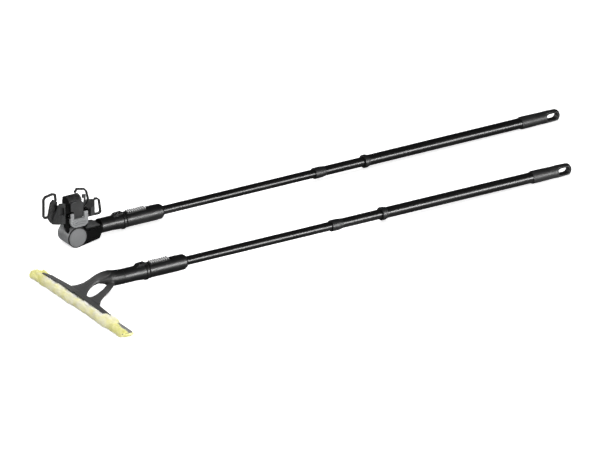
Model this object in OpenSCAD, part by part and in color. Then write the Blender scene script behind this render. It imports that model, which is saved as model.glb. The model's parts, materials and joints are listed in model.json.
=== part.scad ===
// Window cleaning pole system: two three-stage telescopic poles lying side by side.
// One carries a tilting cradle for a hand-held window vacuum, the other a washer head
// with a microfibre cover. All sizes are in millimetres.
//
// Each pole is drawn on its own line: x = 0 is the seam between head and cuff, +X runs
// towards the grip, z = 0 is the pole's axis. on_vac_line() and on_washer_line() then lay
// the pole down so that its head and its grip both touch the ground at Z = 0.

/* [Layout] */
// Distance between the two poles' axes
pole_gap = 250; // [240:1:320]
// How far the washer pole lies ahead of the vac pole
washer_lead = 99; // [60:1:140]

/* [Tubes] */
// Outside diameter of the outer tube
outer_d = 23; // [23:0.2:24]
// Outside diameter of the middle tube
middle_d = 20.2; // [20:0.1:20.4]
// Outside diameter of the inner tube
inner_d = 18.4; // [18:0.1:18.4]
// Free length of the inner tube on the vac pole
vac_inner_show = 368; // [356:1:370]
// Free length of the inner tube on the washer pole
washer_inner_show = 347; // [347:1:370]
// Free length of the middle tubes
middle_show = 94; // [80:1:100]
// Length of the vac pole's outer tube between its left end and the grip
vac_outer_show = 393; // [374:1:400]
// Length of the washer pole's outer tube between its left end and the grip
washer_outer_show = 371; // [371:1:400]

/* [Collars, cuffs and grips] */
// Length of the collar on the middle tube
middle_collar_len = 27; // [24:1:32]
// Length of the collar on the outer tube
outer_collar_len = 13; // [12:1:20]
// Length of the cuff that holds the head
cuff_len = 91; // [88:1:100]
// Radius of the cuff
cuff_r = 16.4; // [16:0.1:17]
// Length of the grip
grip_len = 98; // [94:1:110]
// Radius of the grip
grip_r = 13.5; // [13.2:0.1:14]

/* [Vac head] */
// Distance from the cuff seam to the tilt axis
drum_back = 121; // [112:1:122]
// How far the tilt axis lies below the pole's axis
drum_drop = 4; // [3:0.5:5]
// Radius of the tilt hinge
drum_r = 22; // [21.5:0.1:22]
// Thickness of the strap loops
loop_bar = 3.8; // [3:0.1:3.8]

/* [Washer head] */
// Distance from the cuff seam to the back edge of the T-plate
plate_back = 152; // [150:1:156]
// Length of the microfibre cover
cover_len = 353; // [340:1:380]
// How far the cover has slid towards the front
cover_shift = 18.5; // [0:0.5:22]
// Length of the bar inside the cover
bar_len = 343; // [330:1:370]
// How far the bar inside the cover sits towards the front
bar_shift = 21; // [0:0.5:24]
// Depth of the cover's lowest side below the pole's axis
cover_drop = 33; // [33:0.5:36]

/* [Hidden] */
$fn = 72;
gap = 0.3;            // clearance between sliding parts
wall_outer = 0.8;
wall_middle = 0.6;
wall_inner = 0.7;
outer_r = outer_d / 2;
middle_r = middle_d / 2;
inner_r = inner_d / 2;
outer_bore = outer_r - wall_outer;
middle_bore = middle_r - wall_middle;
inner_bore = inner_r - wall_inner;
tube_in_grip = 58;    // length of outer tube inside the grip
tube_in_cuff = 51;    // length of inner tube inside the cuff
middle_len = 428;
inner_hold = 65;      // length of inner tube still inside the middle tube
lock_len = 20;        // length of a locking sleeve
socket_r = 12.3;      // bore of the cuff that takes a head's spigot
socket_len = 40;
spigot_r = 12;
adapter_r = 15.5;
adapter_len = 58;
cover_front = 179;    // distance from the cuff seam to the cover's front

// free lengths of the inner and the outer tube of each pole
vac = [vac_inner_show, vac_outer_show];
washer = [washer_inner_show, washer_outer_show];

// places along a pole that is given by its free lengths
function middle_x(pole) = cuff_len + pole[0];
function outer_x(pole) = middle_x(pole) + middle_collar_len + middle_show;
function grip_x(pole) = outer_x(pole) + pole[1];
function tip_x(pole) = grip_x(pole) + grip_len;
function middle_end(pole) = middle_x(pole) + 2 + middle_len;

// each pole's fall from its head to its grip
vac_tilt = asin((drum_r + drum_drop - grip_r) / (tip_x(vac) + drum_back));
washer_tilt = asin((cover_drop - grip_r) / (tip_x(washer) + plate_back));

// the ground is Z = 0 and the origin is the middle of the whole footprint
vac_end_x = (tip_x(vac) + drum_back) * cos(vac_tilt);
washer_front_x = -washer_lead - (cover_front - plate_back) * cos(washer_tilt)
    - cover_drop * sin(washer_tilt) / 2 - (plate_back - drum_back);
mid_x = (vac_end_x + washer_front_x) / 2;
back_y = pole_gap + 24.2;
front_y = -cover_len / 2 - cover_shift;
mid_y = (back_y + front_y) / 2;

// ---- placing ----

module on_vac_line()
    translate([-mid_x, pole_gap - mid_y, drum_r + drum_drop])
        rotate([0, vac_tilt, 0])
            translate([drum_back, 0, 0])
                children();

module on_washer_line()
    translate([-mid_x - washer_lead - (plate_back - drum_back), -mid_y, cover_drop])
        rotate([0, washer_tilt, 0])
            translate([plate_back, 0, 0])
                children();

// the vac head's own frame: the tilt axis is along Y through the origin
module at_drum()
    translate([-drum_back, 0, -drum_drop])
        children();

// ---- shapes used more than once ----

// a solid turned about the pole's axis from a list of [radius, x]
module turned(profile)
    rotate([0, 90, 0])
        rotate_extrude()
            polygon(profile);

module rod_x(x0, x1, r)
    translate([x0, 0, 0])
        rotate([0, 90, 0])
            cylinder(h = x1 - x0, r = r);

module rod_y(y0, y1, r)
    translate([0, y1, 0])
        rotate([90, 0, 0])
            cylinder(h = y1 - y0, r = r);

module ring_x(x0, x1, r_out, r_in)
    difference() {
        rod_x(x0, x1, r_out);
        rod_x(x0 - 1, x1 + 1, r_in);
    }

module ring_y(y0, y1, r_out, r_in)
    difference() {
        rod_y(y0, y1, r_out);
        rod_y(y0 - 1, y1 + 1, r_in);
    }

module block(x0, x1, y0, y1, z0, z1)
    translate([x0, y0, z0])
        cube([x1 - x0, y1 - y0, z1 - z0]);

// an outline of [x, z] points made solid between two values of y
module slab_y(y0, y1, outline)
    translate([0, y1, 0])
        rotate([90, 0, 0])
            linear_extrude(y1 - y0)
                polygon(outline);

// a bent bar that follows [x, z] points
module bar_y(y0, y1, width, points)
    translate([0, y1, 0])
        rotate([90, 0, 0])
            linear_extrude(y1 - y0)
                for (i = [0 : len(points) - 2])
                    hull() {
                        translate(points[i]) circle(d = width, $fn = 16);
                        translate(points[i + 1]) circle(d = width, $fn = 16);
                    }

// ---- pole parts; pole is the list of one pole's free tube lengths ----

module grip(pole) {
    x0 = grip_x(pole);
    x1 = tip_x(pole);
    nose = 9;
    round_end = [for (a = [0 : 15 : 90]) [grip_r - 1 - nose + nose * cos(a), x1 - nose + nose * sin(a)]];
    hang_h = 7.5;
    loop_y = 7.5;
    color("#26282a")
        difference() {
            turned(concat(
                [[0, x0], [grip_r - 0.9, x0], [grip_r, x0 + 2.5], [grip_r, x0 + 22], [grip_r - 0.6, x0 + 52],
                 [grip_r - 0.2, x0 + 66]], round_end, [[0, x1]]));
            rod_x(x0 - 1, x0 + tube_in_grip, outer_r);
            // flats beside the hanging loop
            block(x1 - 36, x1 + 1, -20, -loop_y, -20, 20);
            block(x1 - 36, x1 + 1, loop_y, 20, -20, 20);
            // hanging slot
            translate([x1 - 27, 0, 0]) rod_y(-20, 20, hang_h);
            translate([x1 - 12.5, 0, 0]) rod_y(-20, 20, hang_h);
            block(x1 - 27, x1 - 12.5, -20, 20, -hang_h, hang_h);
        }
}

module end_plug(pole)
    color("#1b1c1d")
        rod_x(grip_x(pole) + tube_in_grip - 6, grip_x(pole) + tube_in_grip, outer_bore);

module outer_tube(pole)
    color("#101112")
        ring_x(outer_x(pole) + 6, grip_x(pole) + tube_in_grip, outer_r, outer_bore);

module outer_collar(pole) {
    x0 = outer_x(pole);
    lip = middle_r + gap;
    color("#1f2022")
        turned([[lip, x0], [13.3, x0], [13.9, x0 + 0.8], [13.9, x0 + 8], [13.3, x0 + 9], [12.5, x0 + 9.4],
                [12.3, x0 + outer_collar_len], [outer_r, x0 + outer_collar_len], [outer_r, x0 + 6],
                [11.9, x0 + 6], [11.9, x0 + 1], [lip, x0 + 1]]);
}

module outer_bush(pole)
    color("#e6e2d6")
        ring_x(outer_x(pole) + 1, outer_x(pole) + 6, 11.9, middle_r + gap);

module middle_collar(pole) {
    x0 = middle_x(pole);
    lip = inner_r + gap;
    color("#1f2022")
        turned([[lip, x0], [11.4, x0], [11.8, x0 + 0.8], [11.8, x0 + 16],
                [middle_r + 0.3, x0 + middle_collar_len], [middle_r, x0 + middle_collar_len],
                [middle_r, x0 + 6], [10.7, x0 + 6], [10.7, x0 + 1], [lip, x0 + 1]]);
}

module middle_bush(pole)
    color("#e6e2d6")
        ring_x(middle_x(pole) + 1, middle_x(pole) + 6, 10.7, inner_r + gap);

module middle_tube(pole)
    color("#101112")
        ring_x(middle_x(pole) + 6, middle_end(pole), middle_r, middle_bore);

module inner_tube(pole)
    color("#101112")
        ring_x(cuff_len - tube_in_cuff, middle_x(pole) + inner_hold, inner_r, inner_bore);

// the part of a twist lock that is fixed in a tube's end
module lock_spindle(x_end, bore_r, stem_r)
    color("#8d9196") {
        rod_x(x_end - 18, x_end, bore_r);
        rod_x(x_end, x_end + lock_len + 1.5, stem_r);
        rod_x(x_end + lock_len + 0.8, x_end + lock_len + 2.4, stem_r + 2.5);
    }

// the split sleeve that the spindle spreads against the next tube
module lock_sleeve(x_end, bore_r, stem_r)
    color("#d8d4c8")
        difference() {
            ring_x(x_end + gap, x_end + lock_len + 0.4, bore_r - gap, stem_r + 0.08);
            block(x_end + 4, x_end + lock_len + 1, -0.8, 0.8, stem_r - 1, bore_r + 1);
        }

module cuff()
    color("#202224")
        difference() {
            turned([[0, 0], [cuff_r - 0.8, 0], [cuff_r + 0.3, 1.5], [cuff_r + 0.3, 5], [cuff_r - 0.1, 7],
                    [cuff_r, 70], [cuff_r - 0.5, cuff_len - 5], [cuff_r - 3.2, cuff_len - 0.6],
                    [inner_r + 1.4, cuff_len], [0, cuff_len]]);
            rod_x(-1, socket_len, socket_r);
            rod_x(socket_len - 1, cuff_len + 1, inner_r);
            // pocket of the release slider, and the channel of its tongue
            block(3, 56, -7.5, 7.5, 13, 20);
            block(-1, 4, -4, 4, 13, 15.3);
        }

module release_slider()
    color("#2c2e30") {
        block(5, 49.5, -7.1, 7.1, 13.3, 15.4);
        // tongue that reaches into the head's catch
        block(-15, 6, -3.6, 3.6, 13.3, 14.9);
        // thumb ribs
        for (i = [0 : 8])
            translate([7 + i * 5, 0, 0])
                block(0, 2.4, -6.4, 6.4, 15.2, 18.2 + 0.2 * abs(i - 4));
    }

// the spigot and round shoulder that both heads share
module adapter()
    color("#242628")
        difference() {
            union() {
                turned([[0, -adapter_len], [adapter_r, -adapter_len], [adapter_r, -26], [16.6, -12],
                        [16.8, -8], [18.2, -6.5], [18.4, -3], [17.4, -0.8], [spigot_r, -0.8], [spigot_r, 37],
                        [spigot_r - 1, 38], [0, 38]]);
                // catch housing
                slab_y(-6.5, 6.5, [[-27, 14], [-22, 18.6], [-5, 19.4], [-3.5, 18], [-3.5, 14]]);
            }
            rod_x(-40, 39, 9);
            block(-17, 1, -4, 4, 13, 15.3);
            block(-20, -12, -2.6, 2.6, 15, 21);
        }

// ---- vac head: fixed part ----

module vac_neck()
    color("#1d1e20")
        at_drum()
            difference() {
                hull() {
                    translate([drum_back - adapter_len, 0, drum_drop])
                        rod_x(-2, 0, adapter_r - 0.3);
                    block(54, 55, -16, 16, -15.6, 12.3);
                    block(17, 18, -19.5, 19.5, -19.6, 12.3);
                    block(8, 9, -19.5, 19.5, -21.6, 6);
                }
                rod_y(-30, 1.8, drum_r + 0.6);
                rod_y(1.7, 30, drum_r);
                // flat seat of the cover, and the shadow groove below it
                block(20, 62, -30, 30, 12.3, 30);
                block(26, 56, -25, -14.5, 7.2, 10.4);
                block(26, 56, 14.5, 25, 7.2, 10.4);
                // long grooves low on both flanks
                block(24, 50, -25, -15.4, -12.6, -9.4);
                block(24, 50, 15.4, 25, -12.6, -9.4);
            }

module vac_neck_cover()
    color("#7e8284")
        at_drum()
            slab_y(-14.6, 14.6, [[24.5, 12.3], [56, 12.3], [56, 14.2], [50, 15.4], [27, 15.4], [24.5, 14.2]]);

module hinge_back_knuckle()
    color("#9a9d9e")
        at_drum()
            difference() {
                rod_y(1.9, 21.5, drum_r);
                rod_y(0, 5.2, 16.3);
                rod_y(0, 30, 4);
            }

module hinge_axle()
    color("#b8bcc0")
        at_drum()
            rod_y(-14.5, 21.5, 4);

module hinge_detent_ring() {
    teeth = 24;
    color("#6f7376")
        at_drum()
            difference() {
                ring_y(1.9, 5.2, 16, 9);
                for (i = [0 : teeth - 1])
                    rotate([0, i * 360 / teeth, 0])
                        block(14.2, 17, 1, 6, -0.9, 0.9);
            }
}

module hinge_back_cap()
    color("#1d1e20")
        at_drum()
            difference() {
                rod_y(21.5, 23.2, 19.5);
                rod_y(21, 24, 5);
            }

module hinge_screw()
    color("#b8bcc0")
        at_drum()
            difference() {
                rod_y(21.5, 24.2, 4.6);
                for (a = [0, 90])
                    rotate([0, a, 0])
                        block(-2.6, 2.6, 23.4, 25, -0.5, 0.5);
            }

// ---- vac head: tilting part ----

module tilt_knuckle()
    color("#a6a9aa")
        at_drum()
            difference() {
                rod_y(-19.5, 1.5, drum_r);
                rod_y(-30, -15, 20.1);
                rod_y(-30, 30, 4.06);
            }

module button_bezel()
    color("#151617")
        at_drum()
            ring_y(-21.6, -19.5, drum_r, 20.1);

// flat wave spring behind the button
module button_spring()
    color("#b8bcc0")
        at_drum()
            ring_y(-16.1, -15, 15, 12);

module tilt_button()
    color("#b4b7b8")
        at_drum() {
            rod_y(-22.4, -20, 17.2);
            ring_y(-22, -20, 18, 17.1);
            ring_y(-22.4, -20, 19.7, 17.9);
            rod_y(-20.1, -18.6, 10);
        }

module yoke()
    color("#1a1b1d")
        at_drum()
            difference() {
                union() {
                    // front and rear arms
                    slab_y(-15.4, -8.2,
                           [[-16, 8], [-20.5, 12], [-25.3, 24], [-25.3, 66], [-22, 71], [-16, 71]]);
                    block(21, 26, -15.4, -8.2, 18.3, 58);
                    block(9, 26, -15.4, -8.2, 18.3, 25);
                    // lugs for the lever's pins
                    block(-21.3, -17.4, -22, -14, 46, 56);
                    block(24.4, 28, -22, -14, 46, 56);
                    // pedestal under the cradle
                    slab_y(-8.2, 14, [[-14, 10], [-11, 40], [10, 40], [14, 18.3], [14, 12]]);
                }
                rod_y(-40, 1.7, drum_r);
                rod_y(1.6, 40, drum_r + 0.7);
                translate([0, -19, 51]) rod_x(-30, 40, 2);
                block(9, 40, -40, 40, -30, 18.3);
            }

module cradle_block()
    color("#1a1b1d")
        at_drum() {
            block(-15.8, 13.9, -14.3, 14.3, 40, 70.6);
            translate([0, 0, 70.6]) rod_x(-15.8, 13.9, 14.3);
        }

module cradle_front_plate()
    color("#74787a")
        at_drum()
            slab_y(-19, -14.3, [[-14.5, 75], [-10, 78.5], [11, 77.5], [14.6, 74], [14.6, 44.5], [12.5, 42.5],
                                [-6, 42.5], [-8, 44.5], [-8, 57], [-14.5, 59]]);

// rubber pad over the top of the cradle
module cradle_pad()
    color("#3c3e40")
        at_drum()
            translate([0, 0, 70.6])
                difference() {
                    ring_x(-15.8, 13.9, 16, 14.3);
                    block(-20, 20, -20, 20, -20, 7);
                }

// curved skirt beside the front arm: its plan curve, then its arched top, window and slanted rim
module front_shell()
    color("#3c3f41")
        at_drum() {
            intersection() {
                translate([0, 0, 33])
                    linear_extrude(47)
                        polygon([[-25.6, -15.4], [-33, -14.2], [-40, -11], [-45.6, -7], [-50, -2.4],
                                 [-46.8, -2.4], [-43.8, -5.2], [-38.8, -8.9], [-32.2, -11.9], [-25.6, -13]]);
                difference() {
                    slab_y(-17, 0, [[-25, 34], [-25, 77.5], [-31, 79], [-36, 78], [-40.5, 75], [-41, 68],
                                    [-45.5, 55], [-50.5, 33.5]]);
                    slab_y(-18, 1, [[-27.4, 53], [-27.4, 68], [-31, 71.5], [-36, 69.5], [-38.5, 62],
                                    [-38.5, 53]]);
                }
            }
            // wall behind the window
            slab_y(-7.6, -5.6, [[-26, 44], [-26, 76], [-35, 77], [-38.6, 70], [-38.6, 44]]);
            // floor of the skirt, fixed to the cradle block
            translate([0, 0, 41])
                linear_extrude(6)
                    polygon([[-15.8, -7.9], [-15.8, 5], [-36.6, 5], [-36.6, -9.8], [-32.2, -11.9],
                             [-25.6, -13], [-25.6, -7.9]]);
        }

front_ear_outline = [
    [-59, 49], [-52, 36.5], [-49, 34], [-44, 34], [-36.8, 41], [-36.8, 80], [-45, 86], [-52, 80]];

module front_ear()
    color("#17181a")
        at_drum()
            slab_y(-2.2, 2.2, front_ear_outline);

module front_strap_loop()
    color("#2a2c2e")
        at_drum()
            difference() {
                bar_y(-2.4, 2.4, loop_bar, [[-56, 50.5], [-65.5, 50], [-68, 54], [-68, 91], [-64, 95.5],
                                       [-48, 98.5], [-41, 96.5], [-39.5, 84]]);
                slab_y(-3, 3, front_ear_outline);
            }

module rear_ear()
    color("#232527")
        at_drum()
            slab_y(-2.5, 2.5, [[13.9, 42], [30, 42], [34, 31], [51.5, 31], [51.5, 65.5], [36, 68.5],
                               [31, 57], [13.9, 57]]);

module rear_ear_pad()
    color("#7e8284")
        at_drum()
            slab_y(-4.6, -2.5, [[41, 33], [50.5, 33], [50.5, 49], [48, 51], [41, 51]]);

module rear_strap_loop()
    color("#2a2c2e")
        at_drum()
            difference() {
                bar_y(-2.4, 2.4, loop_bar,
                      [[45, 67], [58, 66], [62.5, 62], [66, 36], [63, 32.6], [49, 32.6]]);
                block(13, 51.5, -3, 3, 30, 80);
            }

module back_strap_loop()
    color("#2a2c2e")
        at_drum()
            bar_y(2.5, 6.5, loop_bar, [[8.5, 89], [12.5, 95], [30, 91.5], [35.5, 85], [39.5, 68], [36, 60]]);

module strap_tab()
    color("#7e8284")
        at_drum()
            slab_y(2.5, 5, [[25, 73], [25, 81], [33, 79.5], [33.5, 66], [32.5, 55], [28.5, 55], [29.5, 72]]);

module lever_pins()
    color("#b8bcc0")
        at_drum()
            translate([0, -19, 51]) {
                rod_x(-21.3, -10, 2);
                rod_x(17, 28, 2);
            }

// outline of one wavy rib whose middle line is at height z
function wavy_rib(z) =
    let (wave = [for (x = [-11 : 2 : 19]) [x, z + 1.2 * sin(x * 14)]])
        concat([for (p = wave) p + [0, 1]], [for (i = [len(wave) - 1 : -1 : 0]) wave[i] - [0, 1]]);

// U-shaped ribbed lever that clamps the cradle
module clamp_lever() {
    pivot = [0, -19, 51];
    color("#c3c6c7")
        at_drum()
            difference() {
                union() {
                    slab_y(-22, -16, [[-17, 35], [-14, 28], [-9, 24], [-4, 23.2], [17, 23.2], [24, 29],
                                      [24, 51], [15.5, 51], [15.5, 41], [-9, 41], [-9, 51], [-17, 51]]);
                    translate(pivot) rod_x(-17, -9, 3);
                    translate(pivot) rod_x(15.5, 24, 3);
                    for (i = [0 : 2])
                        slab_y(-23.6, -21.9, wavy_rib(27.4 + i * 4.6));
                }
                translate(pivot) rod_x(-30, 40, 2.07);
            }
}

// ---- washer head ----

// half of the gently arched T-plate, for side = -1 or 1
module plate_half(side)
    hull() {
        translate([-plate_back, 0, 0])
            slab_y(-0.5, 0.5, [[0, -14], [0, -10.4], [-14, -7.6], [-15, -8], [-15, -11.2]]);
        translate([-plate_back, side * 113, -7.5])
            slab_y(-0.5, 0.5, [[0, -13], [0, -10.6], [-6, -9.4], [-6, -11.8]]);
        translate([-plate_back, side * 127, -7.5])
            slab_y(-0.5, 0.5, [[-10, -10.8], [-10, -8.6], [-14.6, -7.8], [-15, -10]]);
    }

// sections [x, y, z, half width, half height] of the neck, which falls in a curve to the T-plate
neck_path = [
    [-adapter_len - 0.6, 0, 0, adapter_r, adapter_r], [-76, 0, 1, 16.2, 16.2],
    [-88, 1, 2.6, 17.5, 16.6], [-100, 4, 4.6, 15.5, 11.8], [-112, 6, 4, 11.5, 9],
    [-124, 5.5, 0.5, 11.5, 6.6], [-136, 6, -5, 15, 4.3], [-146, 7, -9.5, 22, 2.8],
    [-154, 7, -12.2, 30, 1.8]];
strut_path = [
    [-84, -7, -4, 8.5, 8], [-97, -17, -7.5, 8.8, 5.5], [-114, -29.2, -9.4, 9.8, 3.8],
    [-134, -41.4, -10.8, 11.8, 2.7], [-146, -48.8, -11.6, 15.6, 2.2], [-154, -52.2, -12.9, 22.5, 1.8]];

// a row of rounded sections, joined one to the next
module sweep_sections(path)
    for (i = [0 : len(path) - 2])
        hull()
            for (s = [path[i], path[i + 1]])
                translate([s[0], s[1], s[2]])
                    scale([1, s[3] / 10, s[4] / 10])
                        rod_x(-0.5, 0.5, 10, $fn = 40);

module washer_neck()
    color("#1c1d1f") {
        translate([-adapter_len - 1, 0, 0]) rod_x(0, 1, adapter_r);
        sweep_sections(neck_path);
        sweep_sections(strut_path);
        plate_half(-1);
        plate_half(1);
    }

// straight bar that the cover is pulled over, with its two studs
module cover_bar()
    color("#8b8f93") {
        block(-174, -150.5, -bar_len / 2 - bar_shift, bar_len / 2 - bar_shift, -27.4, -24.6);
        for (y = [-40, 40])
            translate([-156, y, -24.8])
                cylinder(h = 9.6, r = 2.6);
    }

module fleece_cover()
    color("#efe6a0")
        translate([0, -cover_shift, 0])
            slab_y(-cover_len / 2, cover_len / 2,
                   [[-cover_front, -23], [-176.5, -17.5], [-172, -16], [-168.8, -17], [-168.8, -22.4],
                    [-160, -22.4], [-160, -24.1], [-174.5, -24.1], [-174.5, -27.9], [-148, -27.9],
                    [-147, -30], [-150, -cover_drop], [-166, -cover_drop], [-175, -29.5]]);

// ---- the two poles ----

stem_big = 4.5;
stem_small = 4;

on_vac_line() grip(vac);  // vac_grip
on_vac_line() end_plug(vac);  // vac_end_plug
on_vac_line() outer_tube(vac);  // vac_outer_tube
on_vac_line() outer_collar(vac);  // vac_outer_collar
on_vac_line() outer_bush(vac);  // vac_outer_bush
on_vac_line() lock_sleeve(middle_end(vac), outer_bore, stem_big);  // vac_middle_lock_sleeve
on_vac_line() lock_spindle(middle_end(vac), middle_bore, stem_big);  // vac_middle_lock_spindle
on_vac_line() middle_tube(vac);  // vac_middle_tube
on_vac_line() middle_collar(vac);  // vac_middle_collar
on_vac_line() middle_bush(vac);  // vac_middle_bush
on_vac_line() lock_sleeve(middle_x(vac) + inner_hold, middle_bore, stem_small);  // vac_inner_lock_sleeve
on_vac_line() lock_spindle(middle_x(vac) + inner_hold, inner_bore, stem_small);  // vac_inner_lock_spindle
on_vac_line() inner_tube(vac);  // vac_inner_tube
on_vac_line() cuff();  // vac_cuff
on_vac_line() release_slider();  // vac_release_slider

on_vac_line() adapter();  // vac_adapter
on_vac_line() vac_neck();
on_vac_line() vac_neck_cover();
on_vac_line() hinge_back_knuckle();
on_vac_line() hinge_axle();
on_vac_line() hinge_detent_ring();
on_vac_line() hinge_back_cap();
on_vac_line() hinge_screw();
on_vac_line() tilt_knuckle();
on_vac_line() button_bezel();
on_vac_line() button_spring();
on_vac_line() tilt_button();
on_vac_line() yoke();
on_vac_line() cradle_block();
on_vac_line() cradle_front_plate();
on_vac_line() cradle_pad();
on_vac_line() front_shell();
on_vac_line() front_ear();
on_vac_line() front_strap_loop();
on_vac_line() rear_ear();
on_vac_line() rear_ear_pad();
on_vac_line() rear_strap_loop();
on_vac_line() back_strap_loop();
on_vac_line() strap_tab();
on_vac_line() lever_pins();
on_vac_line() clamp_lever();

on_washer_line() grip(washer);  // washer_grip
on_washer_line() end_plug(washer);  // washer_end_plug
on_washer_line() outer_tube(washer);  // washer_outer_tube
on_washer_line() outer_collar(washer);  // washer_outer_collar
on_washer_line() outer_bush(washer);  // washer_outer_bush
on_washer_line() lock_sleeve(middle_end(washer), outer_bore, stem_big);  // washer_middle_lock_sleeve
on_washer_line() lock_spindle(middle_end(washer), middle_bore, stem_big);  // washer_middle_lock_spindle
on_washer_line() middle_tube(washer);  // washer_middle_tube
on_washer_line() middle_collar(washer);  // washer_middle_collar
on_washer_line() middle_bush(washer);  // washer_middle_bush
on_washer_line() lock_sleeve(middle_x(washer) + inner_hold, middle_bore, stem_small);  // washer_inner_lock_sleeve
on_washer_line() lock_spindle(middle_x(washer) + inner_hold, inner_bore, stem_small);  // washer_inner_lock_spindle
on_washer_line() inner_tube(washer);  // washer_inner_tube
on_washer_line() cuff();  // washer_cuff
on_washer_line() release_slider();  // washer_release_slider
on_washer_line() adapter();  // washer_adapter
on_washer_line() washer_neck();
on_washer_line() cover_bar();
on_washer_line() fleece_cover();
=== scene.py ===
"""Looks of the window cleaning pole system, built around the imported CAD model."""

import json
import math
import random

import bmesh
import bpy
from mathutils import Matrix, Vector, noise


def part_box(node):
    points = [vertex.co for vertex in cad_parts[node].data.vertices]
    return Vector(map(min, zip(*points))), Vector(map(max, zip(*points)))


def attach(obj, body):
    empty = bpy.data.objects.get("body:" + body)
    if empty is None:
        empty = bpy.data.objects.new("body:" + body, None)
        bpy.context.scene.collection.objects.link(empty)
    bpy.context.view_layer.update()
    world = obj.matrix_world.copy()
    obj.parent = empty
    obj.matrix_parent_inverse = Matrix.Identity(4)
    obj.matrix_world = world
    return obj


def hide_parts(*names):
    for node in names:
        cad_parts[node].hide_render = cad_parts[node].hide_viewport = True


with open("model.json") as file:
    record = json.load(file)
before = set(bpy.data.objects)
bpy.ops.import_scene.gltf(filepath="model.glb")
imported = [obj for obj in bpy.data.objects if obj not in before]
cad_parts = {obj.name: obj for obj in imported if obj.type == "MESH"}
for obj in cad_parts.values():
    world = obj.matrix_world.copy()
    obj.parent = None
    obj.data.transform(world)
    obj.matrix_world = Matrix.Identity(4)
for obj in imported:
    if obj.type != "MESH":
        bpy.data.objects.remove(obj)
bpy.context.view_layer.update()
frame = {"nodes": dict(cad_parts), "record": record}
nodes = frame["nodes"]
record = frame["record"]
joints = {j["name"]: j for j in record["behaviour"]["joints"]}
mounts = {m["name"]: m for m in record["mounts"]}
MM = 0.001


# ---- local frames of the two heads, in millimetres ----

class Local:
    """Turns a head's own millimetres into a point in the row frame."""

    def __init__(self, origin, x_axis):
        self.origin = Vector(origin)
        self.x = Vector(x_axis).normalized()
        self.y = Vector((0, 1, 0))
        self.z = self.x.cross(self.y)

    def __call__(self, x, y, z):
        return self.origin + (self.x * x + self.y * y + self.z * z) * MM


drum = Local(joints["cradle_tilt"]["pos_m"], [-c for c in joints["clamp_lever_swing"]["axis"]])
washer = Local(mounts["cover_face"]["pos_m"], [-c for c in joints["cover_pull"]["axis"]])
SEAM_FROM_COVER = (158, 0, 33)  # from the cover's face to the seam between head and cuff
washer.origin = washer(*SEAM_FROM_COVER)


# ---- materials ----

class Shade:
    """Small helper that builds one procedural material."""

    def __init__(self, name, roughness=0.4, metallic=0.0, **sockets):
        self.mat = bpy.data.materials.new(name)
        self.mat.use_nodes = True
        self.tree = self.mat.node_tree
        self.bsdf = self.tree.nodes["Principled BSDF"]
        self.bsdf.inputs["Roughness"].default_value = roughness
        self.bsdf.inputs["Metallic"].default_value = metallic
        for key, value in sockets.items():
            self.bsdf.inputs[key.replace("_", " ")].default_value = value
        self.coord = self.tree.nodes.new("ShaderNodeTexCoord")

    def add(self, kind, **settings):
        node = self.tree.nodes.new(kind)
        for key, value in settings.items():
            setattr(node, key, value)
        return node

    def link(self, a, b):
        self.tree.links.new(a, b)

    def noise(self, scale, detail=2.0, rough=0.5, stretch=None):
        node = self.add("ShaderNodeTexNoise")
        node.inputs["Scale"].default_value = scale
        node.inputs["Detail"].default_value = detail
        node.inputs["Roughness"].default_value = rough
        source = self.coord.outputs["Object"]
        if stretch:
            mapping = self.add("ShaderNodeMapping")
            mapping.inputs["Scale"].default_value = stretch
            self.link(source, mapping.inputs["Vector"])
            source = mapping.outputs["Vector"]
        self.link(source, node.inputs["Vector"])
        return node.outputs["Fac"]

    def voronoi(self, scale):
        node = self.add("ShaderNodeTexVoronoi")
        node.inputs["Scale"].default_value = scale
        self.link(self.coord.outputs["Object"], node.inputs["Vector"])
        return node.outputs["Distance"]

    def spread(self, fac, low, high, from_low=0.3, from_high=0.7):
        node = self.add("ShaderNodeMapRange")
        limits = {"From Min": from_low, "From Max": from_high, "To Min": low, "To Max": high}
        for key, value in limits.items():
            node.inputs[key].default_value = value
        self.link(fac, node.inputs["Value"])
        return node.outputs["Result"]

    def colours(self, fac, stops):
        node = self.add("ShaderNodeValToRGB")
        ramp = node.color_ramp
        while len(ramp.elements) < len(stops):
            ramp.elements.new(0.5)
        for element, (pos, colour) in zip(ramp.elements, stops):
            element.position = pos
            element.color = (*colour, 1)
        self.link(fac, node.inputs["Fac"])
        self.link(node.outputs["Color"], self.bsdf.inputs["Base Color"])

    def rounded_edges(self, radius):
        node = self.add("ShaderNodeBevel", samples=6)
        node.inputs["Radius"].default_value = radius
        return node.outputs["Normal"]

    def attribute(self, name):
        return self.add("ShaderNodeAttribute", attribute_name=name).outputs["Fac"]

    def total(self, a, b):
        node = self.add("ShaderNodeMath", operation="ADD")
        self.link(a, node.inputs[0])
        self.link(b, node.inputs[1])
        return node.outputs["Value"]

    def bump(self, heights, last=None):
        """heights is a list of (output, depth in metres), and last is the normal they are laid over."""
        for source, depth in heights:
            node = self.add("ShaderNodeBump")
            node.inputs["Distance"].default_value = depth
            node.inputs["Strength"].default_value = 1.0
            self.link(source, node.inputs["Height"])
            if last:
                self.link(last, node.inputs["Normal"])
            last = node.outputs["Normal"]
        self.link(last, self.bsdf.inputs["Normal"])

    def rough(self, fac):
        self.link(fac, self.bsdf.inputs["Roughness"])


def grey(v, tint=0.0):
    return (v * (1 - tint), v, v * (1 + tint))


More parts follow.
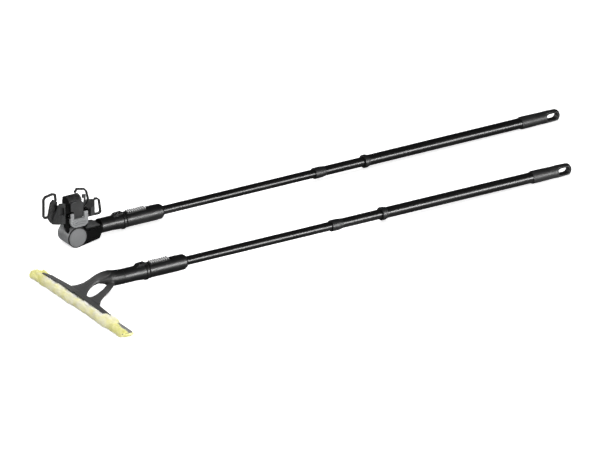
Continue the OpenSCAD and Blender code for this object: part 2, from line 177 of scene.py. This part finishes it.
def moulded(name, dark, light, rough_low, rough_high, grain=0.00006, grain_scale=1800, tint=0.02,
            Specular_IOR_Level=0.25, **sockets):
    """Moulded plastic: fine spark-eroded grain, faint cloudiness and handling marks."""
    s = Shade(name, Specular_IOR_Level=Specular_IOR_Level, **sockets)
    cloud = s.noise(22, 4, 0.6)
    s.colours(cloud, [(0.3, grey(dark, tint)), (0.7, grey(light, tint))])
    s.rough(s.spread(s.noise(60, 5, 0.65), rough_low, rough_high))
    s.bump([(s.noise(grain_scale, 2, 0.6), grain), (s.noise(9, 2, 0.5), 0.0002)],
           s.rounded_edges(0.0006))
    return s.mat


def neck_plastic():
    """The head's plastic, which is paler towards the T-plate."""
    s = Shade("neck_plastic", roughness=0.4, Specular_IOR_Level=0.2)
    cloud = s.spread(s.noise(22, 4, 0.6), -0.1, 0.1)
    s.colours(s.total(s.attribute("paleness"), cloud), [(0.0, grey(0.004)), (0.9, grey(0.055))])
    s.rough(s.spread(s.noise(60, 5, 0.65), 0.38, 0.5))
    s.bump([(s.noise(1800, 2, 0.6), 0.00006)], s.rounded_edges(0.0006))
    return s.mat


def slider_plastic():
    """The release sliders' plastic, with a painted highlight on its ribs and painted shade between them.
    """
    s = Shade("slider_plastic", roughness=0.45, Specular_IOR_Level=0.3)
    # random speckle laid over the painted rib highlight
    highlight_speckle = s.spread(s.noise(400, 4, 0.6), -0.12, 0.12)
    s.colours(s.total(s.attribute("raised"), highlight_speckle),
              [(0.1, grey(0.012)), (0.55, grey(0.2)), (0.9, grey(0.5))])
    s.rough(s.spread(s.noise(60, 5, 0.65), 0.4, 0.52))
    s.bump([(s.noise(1800, 2, 0.6), 0.00006)], s.rounded_edges(0.0005))
    return s.mat


def tube_paint():
    s = Shade("tube_paint", roughness=0.3, Specular_IOR_Level=0.25)
    s.colours(s.noise(14, 3, 0.5, (0.15, 1, 1)), [(0.3, grey(0.003)), (0.7, grey(0.0045))])
    s.rough(s.spread(s.noise(90, 5, 0.7, (0.06, 1, 1)), 0.24, 0.34))
    s.bump([(s.noise(700, 3, 0.6), 0.00002), (s.noise(40, 2, 0.5, (0.2, 1, 1)), 0.00004)])
    return s.mat


def steel():
    s = Shade("steel", roughness=0.3, metallic=1.0)
    line = s.noise(500, 2, 0.5, (1, 0.02, 1))
    s.colours(line, [(0.3, grey(0.46)), (0.7, grey(0.66))])
    s.rough(s.spread(line, 0.22, 0.42))
    s.bump([(line, 0.00003)])
    return s.mat


def pad_rubber():
    s = Shade("pad_rubber", roughness=0.75, Specular_IOR_Level=0.2)
    cell = s.voronoi(420)
    s.colours(s.noise(330, 3, 0.7), [(0.4, grey(0.002)), (0.7, grey(0.026))])
    s.rough(s.spread(s.noise(300, 3, 0.6), 0.55, 0.85))
    s.bump([(cell, 0.0006), (s.noise(1500, 2, 0.6), 0.0002)])
    return s.mat


def fleece():
    """Microfibre pile: each point's yellowness is worked out with its mesh, and the noise mottles it."""
    s = Shade("fleece", roughness=0.9, Sheen_Weight=0.25, Sheen_Roughness=0.5, Specular_IOR_Level=0.1)
    mottle = s.spread(s.noise(90, 5, 0.65), -0.22, 0.22)
    s.colours(s.total(s.attribute("yellowness"), mottle),
              [(0.0, (0.97, 0.96, 0.92)), (0.35, (0.97, 0.95, 0.76)),
               (0.7, (0.95, 0.92, 0.50)), (1.0, (0.88, 0.86, 0.28))])
    s.rough(s.spread(s.noise(300, 3, 0.6), 0.8, 0.95))
    s.bump([(s.noise(700, 4, 0.7), 0.0006)])
    return s.mat


MATERIALS = {
    "tube_paint": tube_paint(),
    "grip_plastic": moulded("grip_plastic", 0.007, 0.011, 0.42, 0.55),
    "collar_plastic": moulded("collar_plastic", 0.005, 0.008, 0.36, 0.48),
    "head_plastic": moulded("head_plastic", 0.003, 0.005, 0.32, 0.45),
    "grey_plastic": moulded("grey_plastic", 0.03, 0.042, 0.34, 0.48),
    "cradle_plastic": moulded("cradle_plastic", 0.026, 0.036, 0.3, 0.42),
    "mid_plastic": moulded("mid_plastic", 0.18, 0.23, 0.36, 0.5),
    "slider_plastic": slider_plastic(),
    "button_plastic": moulded("button_plastic", 0.165, 0.205, 0.42, 0.56),
    "black_plastic": moulded("black_plastic", 0.002, 0.003, 0.28, 0.4, Specular_IOR_Level=0.05),
    "light_plastic": moulded("light_plastic", 0.24, 0.30, 0.42, 0.56),
    "nylon": moulded("nylon", 0.62, 0.72, 0.35, 0.5, tint=-0.06),
    "pad_rubber": pad_rubber(),
    "steel": steel(),
    "bar_plastic": moulded("bar_plastic", 0.17, 0.22, 0.4, 0.55),
    "fleece": fleece(),
}

# pieces coloured blacker than the other pieces of their slot: painted shade in the recess behind the
# clamp lever
PAINTED_SHADE_PIECES = {"yoke": "black_plastic", "cradle_block": "black_plastic"}

for part in record["subparts"]:
    mesh = nodes[part["node"]].data
    mesh.materials.clear()
    mesh.materials.append(MATERIALS[PAINTED_SHADE_PIECES.get(part["node"], part["material_slot"])])

# ---- pieces that replace plain CAD nodes ----

def dense_copy(node, voxel):
    """An evenly meshed copy of a CAD node, as an object and its bmesh."""
    source = nodes[node]
    obj = bpy.data.objects.new(node + "_skin", source.data.copy())
    bpy.context.collection.objects.link(obj)
    obj.data.remesh_voxel_size = voxel * MM
    with bpy.context.temp_override(active_object=obj, object=obj):
        bpy.ops.object.voxel_remesh()
    mesh = bmesh.new()
    mesh.from_mesh(obj.data)
    return obj, mesh


def keep(obj, mesh, node, body, finish=None):
    """Writes the mesh back and shows the object in the CAD node's place."""
    mesh.to_mesh(obj.data)
    mesh.free()
    obj.data.shade_smooth()
    slot = next(p["material_slot"] for p in record["subparts"] if p["node"] == node)
    obj.data.materials.clear()
    obj.data.materials.append(finish or MATERIALS[slot])
    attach(obj, body)
    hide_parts(node)


def smooth_step(value, start, end):
    t = min(1, max(0, (value - start) / (end - start)))
    return t * t * (3 - 2 * t)


def head_place(point):
    """A row point in the washer head's own millimetres."""
    d = (point - washer.origin) / MM
    return Vector((d.dot(washer.x), d.y, d.dot(washer.z)))


def smooth(mesh, picked, times):
    for _ in range(times):
        bmesh.ops.smooth_vert(mesh, verts=picked, factor=0.5,
                              use_axis_x=True, use_axis_y=True, use_axis_z=True)


# ---- release sliders ----

SLIDER_BASE = 2.1  # thickness of a slider under its ribs
RIB_HEIGHT = 2.4  # height over which the ribs turn from painted shade to painted highlight


def mark_ribs(node, line):
    """Writes how far each point of a release slider stands above the foot of its ribs, as the mask of
    the painted rib highlight and shade.
    """
    mesh = nodes[node].data
    heights = [(v.co - line.origin).dot(line.z) / MM for v in mesh.vertices]
    raised = mesh.attributes.new("raised", "FLOAT", "POINT")
    for k, height in enumerate(heights):
        above = height - min(heights)
        raised.data[k].value = smooth_step(above, SLIDER_BASE, SLIDER_BASE + RIB_HEIGHT)


# ---- the washer head's neck, along which x runs from the plate (-154) to the seam (0) ----

NECK_VOXEL = 1.0
FORK = (-146, -60)  # the stretch whose sections are run together
LINE = (-138, -64)  # the stretch that carries the sunk line
LINE_DEPTH, LINE_WIDTH = 1.1, 1.5
PALE_SPAN = (75, 125)  # where the plastic turns from black to grey, counted from the seam


def line_side(x):
    """How far to the side the sunk line runs: it bends to the front, then back along the branch."""
    return 2 - 12 * smooth_step(-x, 62, 96) + 13 * smooth_step(-x, 92, 138)


def build_neck():
    """The forked neck, with its sections run together and a sunk line down the camera side."""
    obj, mesh = dense_copy("washer_neck", NECK_VOXEL)
    places = {v: head_place(v.co) for v in mesh.verts}
    smooth(mesh, [v for v in mesh.verts if FORK[0] < places[v].x < FORK[1]], 8)
    smooth(mesh, [v for v in mesh.verts if places[v].x < FORK[1]], 2)
    mesh.normal_update()
    for v in mesh.verts:
        p = head_place(v.co)
        if LINE[0] < p.x < LINE[1] and v.normal.z > 0.15:
            off_line = (p.y - line_side(p.x)) / LINE_WIDTH
            v.co -= v.normal * LINE_DEPTH * MM * math.exp(-off_line ** 2)
    paleness = mesh.verts.layers.float.new("paleness")
    for v in mesh.verts:
        v[paleness] = smooth_step(-head_place(v.co).x, *PALE_SPAN)
    keep(obj, mesh, "washer_neck", "washer_head", neck_plastic())


# ---- the microfibre cover ----

COVER_LOW, COVER_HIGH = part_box("fleece_cover")
COVER_VOXEL = 1.5
COVER_X, COVER_Z = -163, -26  # the line that its ends close on
END_ROUND = 9  # length over which an end closes
PLATE_LEVEL = -24.3  # pile above this level can lap over the bar
TOP_FRONT, TOP_BACK = -176, -168  # the front and the back of the pile's top
LAP = 0.62  # how far the pile laps back over the bar, as a share of its depth
LAP_REAR = (116, 132)  # where the lap begins, to the rear of the plate
LAP_FRONT = (104, 116)  # where the lap begins, to the front of the plate
LAP_STOP = (138, 152)  # where it leaves the bar's front end bare again
FRONT_DROOP = (138, 156)  # where the front end hangs
REAR_THIN = (60, 156)  # where the far half grows thinner
LOCKS = 17000
LOCK_LENGTH = (3.0, 7.0)
LOCK_WIDTH = 0.62
LOCK_RINGS = ((-0.15, 1.0), (0.35, 0.9), (0.75, 0.5))  # place along a lock, share of its width
LOCK_SIDES = 3
DROOP = Vector((0, 0, -0.35))  # how far gravity bends a lock, as a share of its length


def pile_shape(p):
    """Where a point of the plain cover goes on the worn one.

    The ends are rounded, the far half is thinner, and beside the plate the pile laps over the bar."""
    front, rear = head_place(COVER_LOW).y, head_place(COVER_HIGH).y
    end = min(p.y - front, rear - p.y)
    shrink = math.sqrt(max(0.3, 1 - (1 - min(1, max(0, end) / END_ROUND)) ** 2))
    lap_front = smooth_step(-p.y, *LAP_FRONT) * (1 - smooth_step(-p.y, *LAP_STOP))
    lap = smooth_step(p.y, *LAP_REAR) + lap_front
    droop = smooth_step(-p.y, *FRONT_DROOP)
    thin = 1 - 0.45 * smooth_step(p.y, *REAR_THIN)
    x, z = p.x, p.z
    if z > PLATE_LEVEL:
        x += (x - TOP_FRONT) * LAP * lap
        z += (2.0 * lap - 1.5 * droop) * smooth_step(x, TOP_FRONT, TOP_BACK)
    return Vector((COVER_X + (x - COVER_X) * shrink, p.y, COVER_Z + (z - COVER_Z) * shrink * thin))


def in_bar_slot(p):
    """Whether a point of the cover lines the slot that takes the bar."""
    return -174.5 < p.x and -29 < p.z < -23.2


def on_floor(point):
    """Lifts a point to the level that the cover rests on."""
    point.z = max(point.z, COVER_LOW.z)
    return point


def draw_lock(face):
    """One lock of fibre: its rings of points, and its tip."""
    root = face.calc_center_median()
    n = face.normal
    side = Vector((random.uniform(-1, 1), random.uniform(-1, 1), random.uniform(-1, 1)))
    swirl = Vector(noise.noise_vector(root * 60))
    lean = (n * 0.75 + side * 0.45 + swirl * 0.9 + DROOP).normalized()
    length = random.uniform(*LOCK_LENGTH) * MM
    across = n.cross(lean)
    across = (across if across.length > 0.05 else n.orthogonal()).normalized()
    up = lean.cross(across)
    rings = []
    for part, width in LOCK_RINGS:
        centre = root + lean * length * part + DROOP * length * max(0, part) ** 2
        ring = []
        for k in range(LOCK_SIDES):
            turn = math.tau * k / LOCK_SIDES
            out = across * math.cos(turn) + up * math.sin(turn)
            ring.append(on_floor(centre + out * LOCK_WIDTH * width * MM))
        rings.append(ring)
    return rings, on_floor(root + lean * length + DROOP * length)


def add_lock(mesh, rings, tip):
    made = [[mesh.verts.new(spot) for spot in ring] for ring in rings]
    end = mesh.verts.new(tip)
    for k in range(LOCK_SIDES):
        j = (k + 1) % LOCK_SIDES
        for low_ring, high_ring in zip(made, made[1:]):
            mesh.faces.new((low_ring[k], low_ring[j], high_ring[j], high_ring[k]))
        mesh.faces.new((made[-1][k], made[-1][j], end))


def colour_pile(mesh):
    """Writes the yellowness: strong at both ends, pale on top of the middle."""
    shade = mesh.verts.layers.float.new("yellowness")
    reach = (COVER_HIGH.y - COVER_LOW.y) / 2
    middle = (COVER_HIGH.y + COVER_LOW.y) / 2
    for v in mesh.verts:
        p = head_place(v.co)
        ends = smooth_step(abs(v.co.y - middle) / reach, 0.5, 0.9)
        top = smooth_step(p.z, -25, -17) * smooth_step(p.x, -178, -168)
        v[shade] = 0.5 + 0.3 * ends - 0.4 * top * (1 - ends) + 0.3 * noise.noise(v.co * 55)


def build_cover():
    """The pile: a lumpy body with thousands of short curved locks of fibre growing from it."""
    random.seed(11)
    noise.seed_set(11)
    obj, mesh = dense_copy("fleece_cover", COVER_VOXEL)
    smooth(mesh, mesh.verts, 4)
    for v in mesh.verts:
        v.co = washer(*pile_shape(head_place(v.co)))
    mesh.normal_update()
    for v in mesh.verts:
        if not in_bar_slot(head_place(v.co)):
            lump = noise.noise(v.co * 75) * 1.6 + noise.noise(v.co * 240) * 0.8
            v.co = on_floor(v.co + v.normal * (lump + 0.2) * MM)
    mesh.normal_update()
    faces = [f for f in mesh.faces if not in_bar_slot(head_place(f.calc_center_median()))]
    areas = [f.calc_area() for f in faces]
    locks = [draw_lock(face) for face in random.choices(faces, areas, k=LOCKS)]
    for rings, tip in locks:
        add_lock(mesh, rings, tip)
    colour_pile(mesh)
    keep(obj, mesh, "fleece_cover", "washer_cover")


mark_ribs("vac_release_slider", drum)
mark_ribs("washer_release_slider", washer)
build_neck()
build_cover()

# ---- floor, light and camera ----

FLOOR_HALF = 30.0
FLOOR_GLOW = 0.7  # lifts the floor to white for the eye only
FLOOR_IN_MIRROR = 0.16  # how pale the floor is in reflections
floor_mesh = bpy.data.meshes.new("studio_floor")
floor_mesh.from_pydata([(-FLOOR_HALF, -FLOOR_HALF, 0), (FLOOR_HALF, -FLOOR_HALF, 0),
                        (FLOOR_HALF, FLOOR_HALF, 0), (-FLOOR_HALF, FLOOR_HALF, 0)], [], [(0, 1, 2, 3)])
floor = bpy.data.objects.new("studio_floor", floor_mesh)
bpy.context.collection.objects.link(floor)
paper = Shade("studio_paper", roughness=0.9, Specular_IOR_Level=0.1, Emission_Color=(1, 1, 1, 1))
rays = paper.add("ShaderNodeLightPath").outputs
shine = paper.spread(rays["Is Camera Ray"], 0.0, FLOOR_GLOW, 0, 1)
paper.link(shine, paper.bsdf.inputs["Emission Strength"])
mirror = paper.spread(rays["Is Glossy Ray"], 0.0, -0.5, 0, 1)
paper.colours(paper.total(paper.noise(3, 3, 0.5), mirror),
              [(0.0, grey(FLOOR_IN_MIRROR)), (0.3, grey(0.93)), (0.7, grey(0.95))])
paper.bump([(paper.noise(600, 3, 0.6), 0.00005)])
floor_mesh.materials.append(paper.mat)

world = bpy.data.worlds.new("studio")
bpy.context.scene.world = world
world.use_nodes = True
WALLS, BACKDROP = 0.06, 1.0  # how bright the room is in reflections, and the backdrop to the eye
sky = world.node_tree
path = sky.nodes.new("ShaderNodeLightPath")
seen = sky.nodes.new("ShaderNodeMapRange")
seen.inputs["To Min"].default_value = WALLS
seen.inputs["To Max"].default_value = BACKDROP
sky.links.new(path.outputs["Is Camera Ray"], seen.inputs["Value"])
sky.links.new(seen.outputs["Result"], sky.nodes["Background"].inputs["Strength"])
sky.nodes["Background"].inputs["Color"].default_value = (1, 1, 1, 1)


def soft_light(name, place, aim, size, radiance, glossy=True, diffuse=True):
    data = bpy.data.lights.new(name, "AREA")
    data.shape = "RECTANGLE"
    data.size, data.size_y = size
    data.energy = radiance * math.pi * size[0] * size[1]
    lamp = bpy.data.objects.new(name, data)
    lamp.location = place
    lamp.rotation_euler = (Vector(aim) - Vector(place)).to_track_quat("-Z", "Y").to_euler()
    lamp.visible_glossy = glossy
    lamp.visible_diffuse = diffuse
    bpy.context.collection.objects.link(lamp)


soft_light("overhead", (-0.5, -0.4, 3.0), (0, 0, 0), (3.4, 3.0), 3.3, glossy=False)
soft_light("front_fill", (-1.4, -2.4, 1.4), (0, 0, 0), (1.6, 1.0), 10, glossy=False)
soft_light("front_strip", (1.0, -1.75, 0.36), (1.0, 0, 0), (3.2, 0.42), 52, diffuse=False)
soft_light("back_strip", (-1.0, 2.2, 0.22), (-1.0, 0, 0), (3.2, 0.3), 12, diffuse=False)

bpy.context.scene.view_settings.view_transform = "Standard"

AZIMUTH, ELEVATION = math.radians(-32.66), math.radians(23.81)
DISTANCE = 15.48  # far off, so that the two poles stay nearly parallel
FOCAL_LENGTH = 457.0
back = Vector((math.sin(AZIMUTH) * math.cos(ELEVATION), -math.cos(AZIMUTH) * math.cos(ELEVATION),
               math.sin(ELEVATION)))
aim = Vector((-0.0960, 0.01395, 0.0148))
camera_data = bpy.data.cameras.new("camera")
camera_data.sensor_width = 36
camera_data.lens = FOCAL_LENGTH
camera_data.clip_end = 100
camera = bpy.data.objects.new("camera", camera_data)
camera.location = aim + back * DISTANCE
camera.rotation_euler = (-back).to_track_quat("-Z", "Y").to_euler()
bpy.context.collection.objects.link(camera)
bpy.context.scene.camera = camera
